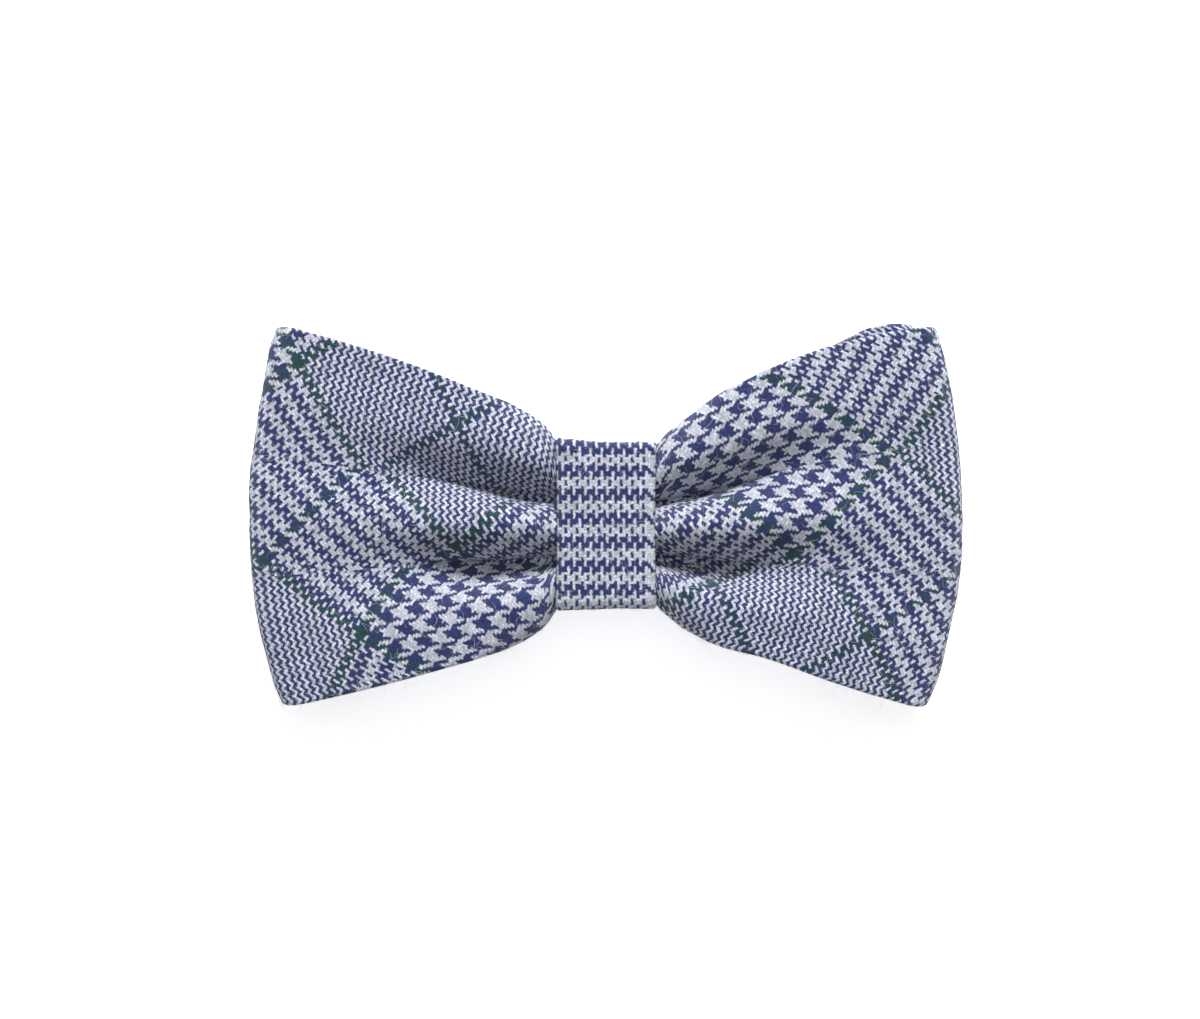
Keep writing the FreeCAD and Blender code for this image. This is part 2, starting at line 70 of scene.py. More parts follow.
# The woven check. Warp threads and weft threads each follow a symmetrical order of colours.
WARP_PITCH = 0.46
WEFT_PITCH = 0.485
WARP_MIDDLE = -1.8       # where the overcheck in the middle of the warp's fine section runs
WEFT_MIDDLE = 37.6
WARP_HALF_REPEAT = 72.0  # threads from the middle of the fine section to that of the coarse one
WEFT_HALF_REPEAT = 91.0


def to_frame(points):
    """Millimetres from the knot's centre to metres in the frame."""
    points = np.asarray(points, dtype=float)
    return (points + np.array([KNOT_CENTRE_X, KNOT_CENTRE_Y, 0.0])) * MM


def through(xs, ys, x):
    """A smooth curve through a few points: a cubic Hermite with secant slopes."""
    xs = np.asarray(xs, dtype=float)
    ys = np.asarray(ys, dtype=float)
    secants = np.diff(ys) / np.diff(xs)
    slopes = np.concatenate([[secants[0]], (secants[1:] + secants[:-1]) / 2, [secants[-1]]])
    x = np.clip(x, xs[0], xs[-1] + 5.0)
    index = np.clip(np.searchsorted(xs, x) - 1, 0, len(xs) - 2)
    step = xs[index + 1] - xs[index]
    t = np.clip((x - xs[index]) / step, 0.0, None)
    start, end = ys[index], ys[index + 1]
    lead, trail = slopes[index] * step, slopes[index + 1] * step
    inside = (
        start * (1 + 2 * t) * (1 - t) ** 2
        + lead * t * (1 - t) ** 2
        + end * t**2 * (3 - 2 * t)
        + trail * t**2 * (t - 1)
    )
    beyond = ys[-1] + slopes[-1] * (x - xs[-1])
    return np.where(x > xs[-1], beyond, inside)


def smoothstep(low, high, value):
    """0 below low, 1 above high, and a smooth rise between them."""
    t = np.clip((value - low) / (high - low), 0.0, 1.0)
    return t * t * (3 - 2 * t)


# ---- the shape of a wing

# Each wing's own outline and creases: distance out from the knot's centre against height. fold_top
# and fold_bottom say how far the outer fold has turned back at the two corners, and the fades how
# far out each crease ends.
WINGS = {
    "right": {
        "side": 1.0,
        "top": ([5.0, 8.2, 9.6, 13.7, 20.0, 31.0, 43.0, 55.6],
                [12.2, 12.7, 14.6, 17.9, 22.6, 27.9, 31.4, 33.6]),
        "bottom": ([5.0, 8.2, 9.6, 15.9, 27.4, 39.0, 53.4],
                   [-12.2, -12.7, -14.4, -18.9, -22.9, -26.9, -30.9]),
        "upper_crease": ([5.0, 8.7, 17.5, 25.3, 33.0, 60.0], [3.2, 3.5, 5.3, 7.4, 9.8, 14.0]),
        "lower_crease": ([5.0, 8.7, 19.4, 25.3, 34.0, 60.0], [-5.0, -5.1, -6.3, -6.6, -7.2, -9.0]),
        "fold_top": 4.3,
        "fold_bottom": 6.3,
        "upper_fade": 33.0,
        "lower_fade": 30.0,
    },
    "left": {
        "side": -1.0,
        "top": ([5.0, 8.0, 9.2, 12.0, 17.8, 26.2, 37.3, 55.0],
                [12.2, 12.8, 15.0, 17.6, 20.9, 24.7, 28.7, 33.7]),
        "bottom": ([5.0, 8.0, 9.2, 13.3, 20.0, 28.9, 42.2, 54.8],
                   [-12.2, -12.8, -15.6, -19.0, -22.0, -24.9, -28.3, -31.0]),
        "upper_crease": ([5.0, 8.6, 17.0, 25.0, 34.0, 60.0], [3.7, 3.9, 5.2, 6.8, 8.2, 12.0]),
        "lower_crease": ([5.0, 8.6, 19.0, 25.0, 34.0, 60.0], [-5.2, -5.3, -6.2, -6.4, -7.0, -9.0]),
        "fold_top": 4.5,
        "fold_bottom": 5.4,
        "upper_fade": 35.0,
        "lower_fade": 34.0,
    },
}


CORNER_RISE = 33.5       # heights of the outer corners, which fold_top and fold_bottom belong to
CORNER_DROP = 31.0
UPPER_CORNER = 33.0      # heights at which the length of a wing's two edges is taken
LOWER_CORNER = -31.0
UPPER_REACH = 55.0       # where the two edges end in the outlines above
LOWER_REACH = 54.0


def fold_line(wing, tip, y):
    """How far out the outer fold lies at a height: it bows outwards between the two corners."""
    above = wing["fold_top"] * (y / CORNER_RISE) ** 2
    below = wing["fold_bottom"] * (y / CORNER_DROP) ** 2
    return tip - np.where(y > 0, above, below)


# Levels above the table of the middle of a wall, and the height of its swell, each against the
# distance out. lift raises the upper corner of the right (1) or left (-1) wing, corner_cut rounds
# the corners, and fold_depth is how far the outer fold bulges past the walls.
FRONT_LOOP = {
    "lift": {1.0: 0.0, -1.0: 0.0},
    "corner_cut": 0.4,
    "outline_scale": 1.0,
    "front": ([5.0, 8.6, 13.0, 20.0, 32.0, 44.0, 52.0, 57.0],
              [17.6, 18.0, 20.0, 21.0, 20.4, 19.0, 17.9, 17.2]),
    "front_relief": ([5.0, 8.6, 13.0, 20.0, 28.0, 36.0, 48.0, 58.0],
                     [3.4, 4.6, 6.4, 6.4, 4.9, 2.6, 0.9, 0.4]),
    "back": ([5.0, 8.6, 20.0, 35.0, 48.0, 57.0], [12.5, 12.4, 11.7, 11.3, 11.2, 11.5]),
    "back_relief": ([5.0, 8.6, 25.0, 58.0], [0.5, 0.6, 0.3, 0.1]),
    "fold_depth": 2.4,
}
REAR_LOOP = {
    "lift": {1.0: 1.7, -1.0: 0.0},
    "corner_cut": 2.0,
    "outline_scale": 0.985,
    "front": ([5.0, 8.6, 20.0, 35.0, 48.0, 57.0], [11.0, 11.0, 10.2, 9.8, 9.2, 8.7]),
    "front_relief": ([5.0, 8.6, 25.0, 58.0], [0.5, 0.6, 0.3, 0.1]),
    "back": ([5.0, 8.6, 20.0, 27.0, 36.0, 46.0, 57.0], [8.3, 8.3, 8.3, 7.9, 4.4, 1.2, 0.9]),
    "back_relief": ([5.0, 8.6, 20.0, 34.0, 58.0], [1.4, 1.6, 1.6, 1.0, 0.2]),
    "fold_depth": 4.0,
}

FLANK_SHARPNESS = 0.35   # how steep the upper band's flank is, above the upper crease
FADE_LENGTH = 15.0       # how far before a crease's end it starts to fade
SHALLOW_GAP = 0.12       # half the width of a crease where it has faded out
DEEP_GAP = 0.85          # what a full pleat adds to that
TUCK_DEPTH = 1.6         # how deep the cloth is tucked in at a front pleat
BACK_TUCK = 0.5          # the share of that depth in the flatter back wall
UPPER_LEAN = 3.0         # how far the tuck runs up under the band above it
LOWER_LEAN = 2.8

# How many points each stretch of a cross-section has, from the wing's upper edge down.
BAND_POINTS = 30
MIDDLE_POINTS = 22
SLOT_POINTS = 11
RIM_POINTS = (0.0, 0.04, 0.12, 0.26, 0.45, 0.75)   # distances from a cloth edge, for its round rim
RIM_END = 1.2


def resample(y, z, count, rim=None):
    """Spreads points evenly along a line, with a few more beside a cloth edge."""
    steps = np.hypot(np.diff(y), np.diff(z))
    run = np.concatenate([[0.0], np.cumsum(steps)])
    if rim is None:
        wanted = np.linspace(0.0, run[-1], count)
    else:
        wanted = np.concatenate([RIM_POINTS, np.linspace(RIM_END, run[-1], count - len(RIM_POINTS))])
        if rim == "end":
            wanted = run[-1] - wanted[::-1]
    return np.interp(wanted, run, y), np.interp(wanted, run, z)


def band(upper, lower, drops, sharpness, hang=0.0, crown=0.0):
    """The rounded stretch of cloth between two heights: heights, and levels from the wing's crown.

    Its upper and lower flanks go down by their own drops. A sharp flank is a quarter of an
    ellipse and a soft one is half a wave. hang pushes the lower flank out over the tuck below it,
    and crown lifts the middle.
    """
    turn = np.linspace(math.pi / 2, -math.pi / 2, 121)
    share = np.sin(turn)
    is_upper = share > 0
    sharp = np.where(is_upper, sharpness[0], sharpness[1])
    drop = sharp * (1 - np.cos(turn)) + (1 - sharp) * (0.5 - 0.5 * np.cos(math.pi * share))
    y = (upper + lower) / 2 + (upper - lower) / 2 * share
    y = y - hang * np.where(is_upper, 0.0, np.sin(math.pi * np.clip(drop, 0, 1)))
    return y, crown * (1 - drop) - np.where(is_upper, drops[0], drops[1]) * drop


def slot(crease, gap, depth, lean, level):
    """The tuck between two bands: down into the pleat, up under the band above, and back."""
    turn = np.linspace(0.0, math.pi, 61)
    bell = np.sin(turn)
    y = crease + gap * np.cos(turn) + lean * bell**1.5
    return y, level - depth * bell


def section(wing, out, top_y, bottom_y, relief, is_front):
    """One cross-section of a wing: heights, levels, and the cloth coordinate across the strip."""
    upper = float(through(*wing["upper_crease"], out))
    lower = float(through(*wing["lower_crease"], out))
    upper_deep = 1 - smoothstep(wing["upper_fade"] - FADE_LENGTH, wing["upper_fade"] + 1.0, out)
    lower_deep = 1 - smoothstep(wing["lower_fade"] - FADE_LENGTH, wing["lower_fade"] + 1.0, out)
    deep = max(upper_deep, lower_deep)
    gap_upper = SHALLOW_GAP + DEEP_GAP * upper_deep
    gap_lower = SHALLOW_GAP + DEEP_GAP * lower_deep
    edge_drop = 0.12 + 0.55 * (1 - smoothstep(9.0, 26.0, out))
    depth = TUCK_DEPTH * (1.0 if is_front else BACK_TUCK)
    edge = relief * edge_drop
    low = relief * (1 + 0.2 * lower_deep)
    upper_band = band(
        top_y, upper + gap_upper, drops=(edge, relief),
        sharpness=(upper_deep, FLANK_SHARPNESS * upper_deep), hang=0.7 * upper_deep,
    )
    middle_band = band(
        upper - gap_upper, lower + gap_lower, drops=(relief, low), sharpness=(deep, 0.6 * deep),
        hang=lower_deep, crown=0.9 * lower_deep if is_front else 0.0,
    )
    lower_band = band(
        lower - gap_lower, bottom_y, drops=(low, edge), sharpness=(0.25 * lower_deep, lower_deep),
    )
    upper_tuck = slot(upper, gap_upper, depth * upper_deep, UPPER_LEAN * upper_deep, -relief)
    lower_tuck = slot(lower, gap_lower, depth * lower_deep, LOWER_LEAN * lower_deep, -low)
    pieces = [
        resample(*upper_band, BAND_POINTS, "start"),
        resample(*upper_tuck, SLOT_POINTS),
        resample(*middle_band, MIDDLE_POINTS),
        resample(*lower_tuck, SLOT_POINTS),
        resample(*lower_band, BAND_POINTS, "end"),
    ]
    y = np.concatenate([pieces[0][0]] + [piece[0][1:] for piece in pieces[1:]])
    z = np.concatenate([pieces[0][1]] + [piece[1][1:] for piece in pieces[1:]])

    # Cloth left over lies out of sight, at the bottom of the two tucks.
    steps = np.hypot(np.diff(y), np.diff(z))
    spare = 2 * STRIP_HALF - steps.sum()
    if spare > 0:
        first = BAND_POINTS + SLOT_POINTS // 2 - 1
        second = first + SLOT_POINTS + MIDDLE_POINTS - 2
        steps[first] += spare / 2
        steps[second] += spare / 2
    else:
        steps *= 2 * STRIP_HALF / steps.sum()
    across = STRIP_HALF - np.concatenate([[0.0], np.cumsum(steps)])
    return y, z, across


FRONT_ROWS = 74          # rows along a wing's front, steps round its fold, rows along its back
FOLD_ROWS = 12
BACK_ROWS = 40


def wing_grid(wing, loop):
    """The middle surface of one wing: out along its front, round the fold and back behind it."""
    tip = (FRONT_TIP if loop is FRONT_LOOP else REAR_TIP) - WALL_HALF
    scale = loop["outline_scale"]
    fold_depth = loop["fold_depth"]
    points, cloth = [], []
    corner_top = fold_line(wing, tip, np.array(UPPER_CORNER)) - fold_depth
    corner_low = fold_line(wing, tip, np.array(LOWER_CORNER)) - fold_depth
    shares = np.linspace(0.0, 1.0, FRONT_ROWS) ** 1.08
    for part, part_shares in (("front", shares), ("back", np.linspace(1.0, 0.0, BACK_ROWS))):
        sign = 1.0 if part == "front" else -1.0
        for share in part_shares:
            out_top = START + share * (corner_top - START)
            out_low = START + share * (corner_low - START)
            out_mid = START + share * (tip - fold_depth - START)
            on_top = out_top * (UPPER_REACH / (corner_top + fold_depth))
            on_bottom = out_low * (LOWER_REACH / (corner_low + fold_depth))
            top_y = scale * float(through(*wing["top"], on_top))
            bottom_y = scale * float(through(*wing["bottom"], on_bottom))
            relief = float(through(*loop[part + "_relief"], out_mid))
            y, z, across = section(wing, out_mid, top_y, bottom_y, relief, part == "front")
            lift = loop["lift"][wing["side"]] * smoothstep(41.0, 52.0, out_mid)
            y = y + lift * smoothstep(0.0, 30.0, y)
            reach = fold_line(wing, tip, y) - fold_depth
            near_corner = smoothstep(top_y + lift - 5.0, top_y + lift, y) ** 2
            near_corner = near_corner + smoothstep(-bottom_y - 5.0, -bottom_y, -y) ** 2
            reach = reach - loop["corner_cut"] * near_corner
            x = START + share * (reach - START)
            level = through(*loop[part], x)
            points.append(np.stack([x, y, level + sign * z], axis=1))
            cloth.append(across)
    front = points[:FRONT_ROWS]
    back = points[FRONT_ROWS:]
    folds, fold_cloth = [], []
    start, end = front[-1], back[0]
    for number in range(1, FOLD_ROWS):
        turn = math.pi * number / FOLD_ROWS
        middle = (start + end) / 2
        half = (start - end) / 2
        row = middle + half * math.cos(turn)
        row[:, 0] += fold_depth * math.sin(turn)
        folds.append(row)
        fold_cloth.append(cloth[FRONT_ROWS - 1])
    grid = np.array(front + folds + back)
    across = np.array(cloth[:FRONT_ROWS] + fold_cloth + cloth[FRONT_ROWS:])
    return grid, across, FRONT_ROWS - 1


def soften(grid, rounds, strength=0.35):
    """Evens out a grid of points without moving its border."""
    grid = grid.copy()
    for _ in range(rounds):
        inner = grid[1:-1, 1:-1]
        mean = (grid[:-2, 1:-1] + grid[2:, 1:-1] + grid[1:-1, :-2] + grid[1:-1, 2:]) / 4
        grid[1:-1, 1:-1] = inner + strength * (mean - inner)
        side = (grid[:-2, [0, -1]] + grid[2:, [0, -1]]) / 2
        grid[1:-1, [0, -1]] += strength * (side - grid[1:-1, [0, -1]])
    return grid


def normals_of(grid):
    """Unit normals of a grid of points."""
    along = np.gradient(grid, axis=0)
    across = np.gradient(grid, axis=1)
    normal = np.cross(across, along)
    return normal / np.maximum(np.linalg.norm(normal, axis=2, keepdims=True), 1e-9)


def ripple(grid, seed, height, length):
    """Slow unevenness of hand-pressed cloth, as an offset for each point of a grid.

    height is the noise's amplitude and length its scale.
    """
    offset = np.zeros(grid.shape[:2])
    for row in range(grid.shape[0]):
        for column in range(grid.shape[1]):
            place = Vector(grid[row, column] / length) + Vector((seed, 0.0, 0.0))
            offset[row, column] = noise.noise(place) * height
    return offset


def run_along(grid, fold_row, tip):
    """Cloth coordinate along the strip: the tip's distance at the fold for every column."""
    steps = np.linalg.norm(np.diff(grid, axis=0), axis=2)
    run = np.concatenate([np.zeros((1, grid.shape[1])), np.cumsum(steps, axis=0)])
    at_fold = run[fold_row]
    share = run / at_fold
    along = START + (tip - START) * share
    beyond = tip + (run - at_fold)
    rows = np.arange(grid.shape[0])[:, None]
    return np.where(rows <= fold_row, along, beyond)


def bias_threads(along, across, side, shift=0.0):
    """Thread coordinates of cloth that is cut at 45 degrees to its threads."""
    u = side * along + shift
    warp = (u + across) / math.sqrt(2)
    weft = (-u + across) / math.sqrt(2)
    return (warp - WARP_MIDDLE) / WARP_PITCH, (weft - WEFT_MIDDLE) / WEFT_PITCH


def sheet_faces(rows, columns, flip):
    """Quads of a grid of points, turned over if flip is set."""
    faces = []
    for row in range(rows - 1):
        for column in range(columns - 1):
            a = row * columns + column
            quad = (a, a + 1, a + columns + 1, a + columns)
            faces.append(quad[::-1] if flip else quad)
    return faces


def add_mesh(name, points, faces, material):
    """An object of points in metres, shaded smooth."""
    mesh = bpy.data.meshes.new(name)
    mesh.from_pydata([tuple(point) for point in points], [], faces)
    mesh.polygons.foreach_set("use_smooth", [True] * len(mesh.polygons))
    mesh.materials.append(material)
    mesh.update()
    item = bpy.data.objects.new(name, mesh)
    bpy.context.scene.collection.objects.link(item)
    return item


class Shell:
    """Collects points, faces and thread coordinates, and turns them into one object."""

    def __init__(self, name):
        self.name = name
        self.points, self.faces, self.threads = [], [], []
        self.count = 0

    def add(self, points, faces, threads):
        """threads has one coordinate for each corner of each face, or is None."""
        self.points.append(np.asarray(points, dtype=float))
        self.faces += [tuple(index + self.count for index in face) for face in faces]
        self.threads += list(threads) if threads is not None else [(0.0, 0.0)] * sum(map(len, faces))
        self.count += len(points)

    def build(self, material):
        item = add_mesh(self.name, to_frame(np.concatenate(self.points)), self.faces, material)
        layer = item.data.uv_layers.new(name="threads")
        layer.data.foreach_set("uv", np.asarray(self.threads, dtype=float).ravel())
        return item


INSIDE_SHIFT = (31.0, 17.0)   # threads by which the inner face's check is moved on


def add_walled_sheet(shell, grid, warp, weft, half, flip, offset):
    """Adds a cloth wall: a grid thickened both ways, with rounded rims along its two edges.

    half is half the wall's thickness. Returns the outer face's points and the normals.
    """
    rows, columns = grid.shape[:2]
    normal = normals_of(grid) * (-1.0 if flip else 1.0)
    steps = np.linalg.norm(np.diff(grid, axis=1), axis=2)
    run = np.concatenate([np.zeros((rows, 1)), np.cumsum(steps, axis=1)], axis=1)
    from_edge = np.minimum(run, run[:, -1:] - run)
    round_off = np.sqrt(np.clip(1 - np.clip(1 - from_edge / half, 0, 1) ** 2, 0, 1))
    thick = half * round_off
    middle = grid + normal * offset[..., None]
    outside = middle + normal * thick[..., None]
    inside = middle - normal * thick[..., None]
    inside[:, 0] = outside[:, 0]
    inside[:, -1] = outside[:, -1]
    outer_faces = sheet_faces(rows, columns, flip)
    points = outside.reshape(-1, 3)
    coordinates = np.stack([warp, weft], axis=2).reshape(-1, 2)
    threads = [coordinates[index] for face in outer_faces for index in face]
    inner_ids = np.arange(rows * columns).reshape(rows, columns) + rows * columns
    inner_ids[:, 0] = np.arange(rows) * columns
    inner_ids[:, -1] = np.arange(rows) * columns + columns - 1
    inner_faces, inner_threads = [], []
    for row in range(rows - 1):
        for column in range(columns - 1):
            cells = [(row, column), (row + 1, column), (row + 1, column + 1), (row, column + 1)]
            if flip:
                cells.reverse()
            inner_faces.append(tuple(int(inner_ids[cell]) for cell in cells))
            for cell in cells:
                inner_threads.append((weft[cell] + INSIDE_SHIFT[0], warp[cell] + INSIDE_SHIFT[1]))
    end_faces = []
    for row in (0, rows - 1):
        for column in range(columns - 1):
            a, b = row * columns + column, row * columns + column + 1
            quad = (a, b, int(inner_ids[row, column + 1]), int(inner_ids[row, column]))
            quad = quad if (row == 0) == flip else quad[::-1]
            end_faces.append(tuple(dict.fromkeys(quad)))
    all_points = np.concatenate([points, inside.reshape(-1, 3)])
    faces = outer_faces + inner_faces + end_faces
    end_threads = [(0.0, 0.0)] * sum(map(len, end_faces))
    shell.add(all_points, faces, threads + inner_threads + end_threads)
    return outside, normal


# ---- materials

def new_material(name):
    """An empty node material: the material, its node tree and its shader."""
    material = bpy.data.materials.new(name)
    material.use_nodes = True
    return material, material.node_tree, material.node_tree.nodes["Principled BSDF"]


def set_inputs(node, values):
    """Sets inputs of a node, by name, to plain values."""
    for name, value in values.items():
        node.inputs[name].default_value = value


def math_node(tree, operation, *inputs, clamp=False):
    """A Math node; an input is a number or another node's socket."""
    node = tree.nodes.new("ShaderNodeMath")
    node.operation = operation
    node.use_clamp = clamp
    for index, value in enumerate(inputs):
        if isinstance(value, (int, float)):
            node.inputs[index].default_value = value
        else:
            tree.links.new(value, node.inputs[index])
    return node.outputs[0]


def mix_colour(tree, share, first, second, blend="MIX"):
    """A colour mix; each colour is a tuple or a socket."""
    node = tree.nodes.new("ShaderNodeMix")
    node.data_type = "RGBA"
    node.blend_type = blend
    colour_sockets = [socket for socket in node.inputs if socket.type == "RGBA"]
    for socket, value in ((node.inputs[0], share), (colour_sockets[0], first), (colour_sockets[1], second)):
        if isinstance(value, tuple):
            socket.default_value = (*value, 1.0)
        elif isinstance(value, (int, float)):
            socket.default_value = value
        else:
            tree.links.new(value, socket)
    return [socket for socket in node.outputs if socket.type == "RGBA"][0]


def noise_node(tree, vector, scale, detail, roughness, output="Fac"):
    """Soft noise between 0 and 1; its output "Color" has one for each axis."""
    node = tree.nodes.new("ShaderNodeTexNoise")
    set_inputs(node, {"Scale": scale, "Detail": detail, "Roughness": roughness})
    tree.links.new(vector, node.inputs["Vector"])
    return node.outputs[output]


def ramp(tree, value, low, high):
    """Stretches a value so that low becomes 0 and high becomes 1."""
    node = tree.nodes.new("ShaderNodeMapRange")
    set_inputs(node, {"From Min": low, "From Max": high})
    tree.links.new(value, node.inputs["Value"])
    return node.outputs["Result"]


def object_place(tree):
    """A place on the object, in metres."""
    return tree.nodes.new("ShaderNodeTexCoord").outputs["Object"]


def bump(tree, shader, height, strength, distance):
    """Lets a height in 0..1 or so tilt the shading normal; distance is in metres."""
    node = tree.nodes.new("ShaderNodeBump")
    set_inputs(node, {"Strength": strength, "Distance": distance})
    tree.links.new(height, node.inputs["Height"])
    tree.links.new(node.outputs["Normal"], shader.inputs["Normal"])


COARSE_THREADS = 4       # threads to a bar in the coarse section of the check
FINE_THREADS = 1         # and in the fine section
GREEN_FROM_BORDER = 2.5  # how far inside the coarse section its green line runs, in threads


def colour_order(tree, thread, half_repeat, coarse_half, green_width):
    """Which colour a thread has: (1 for off-white, else 0) and (1 for an overcheck green, else 0).

    The order is symmetrical about the middle of the fine section, at thread 0, and repeats.
    """
    calc = partial(math_node, tree)
    whole = calc("FLOOR", thread)
    order = calc("FLOOR", calc("PINGPONG", calc("ADD", whole, 0.5), half_repeat))
    fine_bar = calc("FLOORED_MODULO", order, 2 * FINE_THREADS)
    fine_light = calc("LESS_THAN", fine_bar, FINE_THREADS)
    coarse_bar = calc("FLOORED_MODULO", whole, 2 * COARSE_THREADS)
    coarse_light = calc("LESS_THAN", coarse_bar, COARSE_THREADS)
    is_coarse = calc("GREATER_THAN", order, half_repeat - coarse_half)
    coarse_part = calc("MULTIPLY", coarse_light, is_coarse)
    fine_part = calc("MULTIPLY", fine_light, calc("SUBTRACT", 1.0, is_coarse))
    light = calc("ADD", coarse_part, fine_part)
    middle = calc("LESS_THAN", order, 1.0)
    border_centre = half_repeat - coarse_half + GREEN_FROM_BORDER
    from_border = calc("ABSOLUTE", calc("SUBTRACT", order, border_centre))
    border = calc("LESS_THAN", from_border, green_width)
    green = calc("MAXIMUM", middle, border)
    return light, green


# Colours of the dyed wool: the darker and the paler fibres of each.
NAVY_WOOL = ((0.006, 0.010, 0.052), (0.048, 0.076, 0.32))
WHITE_WOOL = ((0.40, 0.45, 0.66), (0.92, 0.94, 1.0))
GREEN_WOOL = ((0.004, 0.026, 0.030), (0.014, 0.11, 0.095))
VEIL_COLOUR = (0.30, 0.33, 0.46)   # crossing fibres of both colours, seen together
VEIL_STRENGTH = 0.22
TWILL_REPEAT = 4.0                 # a 2/2 twill: up for two threads and down for two


def crooked(tree, place, coordinates, scale, roughness, amount):
    """Moves thread coordinates about by noise, up to about amount / 2 threads either way."""
    wobble = noise_node(tree, place, scale, 5.0, roughness, "Color")
    centred = tree.nodes.new("ShaderNodeVectorMath")
    centred.operation = "SUBTRACT"
    centred.inputs[1].default_value = (0.5, 0.5, 0.5)
    tree.links.new(wobble, centred.inputs[0])
    shift = tree.nodes.new("ShaderNodeVectorMath")
    shift.operation = "MULTIPLY_ADD"
    shift.inputs[1].default_value = (amount, amount, 0.0)
    tree.links.new(centred.outputs[0], shift.inputs[0])
    tree.links.new(coordinates, shift.inputs[2])
    return shift.outputs[0]


def check_material(name, warp_order, weft_order):
    """Woolly 2/2 twill in a Glen check, drawn thread by thread in the cloth's own coordinates."""
    material, tree, shader = new_material(name)
    calc = partial(math_node, tree)
    uv = tree.nodes.new("ShaderNodeUVMap")
    uv.uv_map = "threads"
    place = uv.outputs["UV"]

    # Slightly crooked threads with hairy edges.
    bent = crooked(tree, place, place, scale=0.5, roughness=0.72, amount=1.7)
    hairy = crooked(tree, place, bent, scale=1.5, roughness=0.85, amount=2.6)
    parts = tree.nodes.new("ShaderNodeSeparateXYZ")
    tree.links.new(hairy, parts.inputs[0])
    warp, weft = parts.outputs["X"], parts.outputs["Y"]

    warp_light, warp_green = colour_order(tree, warp, *warp_order)
    weft_light, weft_green = colour_order(tree, weft, *weft_order)
    step = calc("ADD", calc("FLOOR", warp), calc("FLOOR", weft))
    twill = calc("FLOORED_MODULO", step, TWILL_REPEAT)
    warp_up = calc("LESS_THAN", twill, TWILL_REPEAT / 2)

    def pick(from_warp, from_weft):
        """What holds for the thread that lies on top."""
        node = tree.nodes.new("ShaderNodeMix")
        node.data_type = "FLOAT"
        tree.links.new(warp_up, node.inputs[0])
        tree.links.new(from_weft, node.inputs[2])
        tree.links.new(from_warp, node.inputs[3])
        return node.outputs[0]

    light = pick(warp_light, weft_light)
    green = pick(warp_green, weft_green)
    across = pick(calc("FRACT", warp), calc("FRACT", weft))
    profile = calc("SINE", calc("MULTIPLY", across, math.pi))

    # Each wool is a little mottled, with paler and darker fibres in it.
    fibre = noise_node(tree, place, 1.9, 5.0, 0.85)
    mottle = noise_node(tree, place, 0.35, 3.0, 0.6)
    navy = mix_colour(tree, ramp(tree, fibre, 0.34, 0.7), *NAVY_WOOL)
    white = mix_colour(tree, ramp(tree, fibre, 0.3, 0.6), *WHITE_WOOL)
    moss = mix_colour(tree, ramp(tree, fibre, 0.3, 0.7), *GREEN_WOOL)
    cloth = mix_colour(tree, light, navy, white)
    cloth = mix_colour(tree, green, cloth, moss)

    # A thin haze of crossing fibres lies over the threads here and there.
    tangle = noise_node(tree, place, 3.4, 5.0, 0.85)
    veil = calc("MULTIPLY", ramp(tree, tangle, 0.5, 0.66), VEIL_STRENGTH)
    cloth = mix_colour(tree, veil, cloth, VEIL_COLOUR)

    # Each crossing has its own brightness, and painted shade darkens the gaps between threads.
    crossing = tree.nodes.new("ShaderNodeCombineXYZ")
    tree.links.new(calc("FLOOR", warp), crossing.inputs[0])
    tree.links.new(calc("FLOOR", weft), crossing.inputs[1])
    float_tone = tree.nodes.new("ShaderNodeTexWhiteNoise")
    float_tone.noise_dimensions = "3D"
    tree.links.new(crossing.outputs[0], float_tone.inputs["Vector"])
    uneven = calc("MULTIPLY_ADD", float_tone.outputs["Value"], 0.44, 0.76)
    cloth = mix_colour(tree, 1.0, cloth, uneven, "MULTIPLY")
    # Painted shade: the colour darkens towards each thread's edges, where the gaps between threads fall.
    gap = ramp(tree, profile, 0.0, 0.62)
    gap = calc("MULTIPLY_ADD", gap, 0.56, 0.44, clamp=True)
    # The painted gap shade, times a slow random mottle of the wool's own tone.
    gap_shade_and_mottle = calc("MULTIPLY", gap, calc("MULTIPLY_ADD", mottle, 0.36, 0.82))
    cloth = mix_colour(tree, 1.0, cloth, gap_shade_and_mottle, "MULTIPLY")
    tree.links.new(cloth, shader.inputs["Base Color"])

    rough = calc("MULTIPLY_ADD", fibre, 0.16, 0.76)
    tree.links.new(rough, shader.inputs["Roughness"])
    set_inputs(shader, {"Specular IOR Level": 0.18, "Sheen Weight": 0.22, "Sheen Roughness": 0.45})
    set_inputs(shader, {"Sheen Tint": (0.86, 0.9, 1.0, 1.0)})

    fuzz = calc("MULTIPLY", fibre, 0.7)
    height = calc("ADD", profile, fuzz)
    bump(tree, shader, height, strength=0.75, distance=0.00016)
    return material


